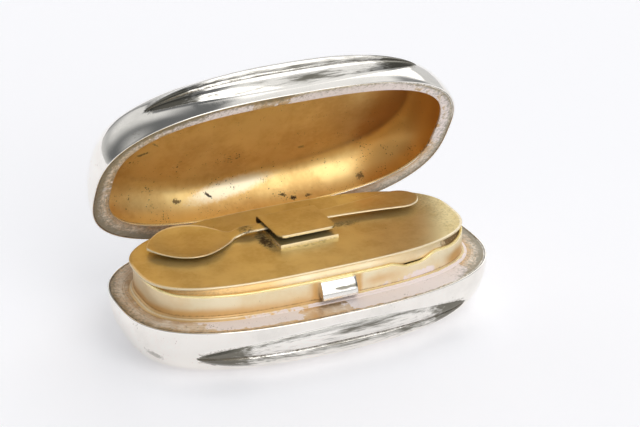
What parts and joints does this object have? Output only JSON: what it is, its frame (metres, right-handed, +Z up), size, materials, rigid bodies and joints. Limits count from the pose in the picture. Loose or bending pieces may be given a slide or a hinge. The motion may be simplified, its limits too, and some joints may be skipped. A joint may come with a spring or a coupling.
{
  "type": "snuff box",
  "caption": "Oval metal snuff box: domed outer lid on a back hinge, flat inner lid on a raised collar, and a spoon held in a folded clip.",
  "frame": {"origin": "centre of the flat underside that the box stands on", "axes": "+X along the length of the box, +Y towards the hinge at the back, +Z up; the outer lid stands open at rest"},
  "size_m": [0.065, 0.0429, 0.0436],
  "materials": {
    "silver": "polished silver, lightly worn",
    "rim_silver": "tarnished flat silver",
    "gilt": "satin gilt",
    "pale_gilt": "worn pale gilt"
  },
  "bodies": {
    "base": {"base_shell": "silver", "base_rim": "rim_silver", "collar": "pale_gilt", "foot_wire": "gilt", "front_catch": "silver", "hinge_knuckle_1": "silver", "hinge_knuckle_3": "silver", "hinge_knuckle_5": "silver", "hinge_pin": "silver", "inner_knuckle_1": "gilt", "inner_knuckle_3": "gilt", "inner_hinge_pin": "gilt"},
    "lid": {"lid_shell": "silver", "lid_rim": "rim_silver", "hinge_knuckle_2": "silver", "hinge_knuckle_4": "silver"},
    "inner_lid": {"inner_lid_plate": "gilt", "inner_lid_skirt": "gilt", "inner_knuckle_2": "gilt", "spoon_clip": "gilt"},
    "spoon": {"spoon": "gilt"}
  },
  "joints": [
    {"name": "lid_hinge", "type": "hinge", "parent": "base", "child": "lid", "pos_m": [0, 0.018, 0.00948], "axis": [-1, 0, 0], "range_deg": [-59.7, 35]},
    {"name": "inner_lid_hinge", "type": "hinge", "parent": "base", "child": "inner_lid", "pos_m": [0, 0.0135, 0.01345], "axis": [-1, 0, 0], "range_deg": [0, 4]},
    {"name": "spoon_slide", "type": "slide", "parent": "inner_lid", "child": "spoon", "axis": [0, -1, 0], "range_m": [0, 0.0095]}
  ]
}
